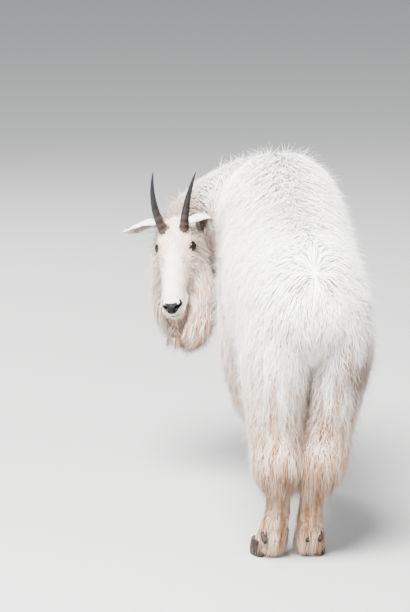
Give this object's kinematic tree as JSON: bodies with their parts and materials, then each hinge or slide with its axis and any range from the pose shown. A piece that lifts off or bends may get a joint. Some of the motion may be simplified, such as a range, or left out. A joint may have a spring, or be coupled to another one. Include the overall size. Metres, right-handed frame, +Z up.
{
  "type": "mountain goat",
  "caption": "Standing mountain goat, life size, in a long shaggy winter coat, with its head turned back over its left shoulder.",
  "frame": {"origin": "middle of the whole goat's box, on the floor between its feet", "axes": "+Y towards the front of the goat's body, +X towards its right side, +Z up"},
  "size_m": [0.648, 1.2884, 1.058],
  "materials": {
    "white_coat": "long soft white hair",
    "cream_coat": "short cream hair",
    "horn": "smooth grey-black horn",
    "hoof": "dull dark horn",
    "eye": "glossy dark brown"
  },
  "bodies": {
    "root": {"torso": "white_coat", "neck": "white_coat", "head": "white_coat", "tail": "white_coat", "ear_left": "white_coat", "ear_right": "white_coat", "eye_left": "eye", "eye_right": "eye", "horn_left": "horn", "horn_right": "horn", "hindleg_upper_left": "white_coat", "hindleg_upper_right": "white_coat", "foreleg_upper_left": "white_coat", "foreleg_upper_right": "white_coat", "hindleg_lower_left": "cream_coat", "hindleg_lower_right": "cream_coat", "foreleg_lower_left": "cream_coat", "foreleg_lower_right": "cream_coat", "hoof_hind_left_inner": "hoof", "hoof_hind_left_outer": "hoof", "hoof_hind_right_inner": "hoof", "hoof_hind_right_outer": "hoof", "hoof_fore_left_inner": "hoof", "hoof_fore_left_outer": "hoof", "hoof_fore_right_inner": "hoof", "hoof_fore_right_outer": "hoof", "dewclaw_hind_left_inner": "hoof", "dewclaw_hind_left_outer": "hoof", "dewclaw_hind_right_inner": "hoof", "dewclaw_hind_right_outer": "hoof", "dewclaw_fore_left_inner": "hoof", "dewclaw_fore_left_outer": "hoof", "dewclaw_fore_right_inner": "hoof", "dewclaw_fore_right_outer": "hoof"}
  },
  "joints": []
}
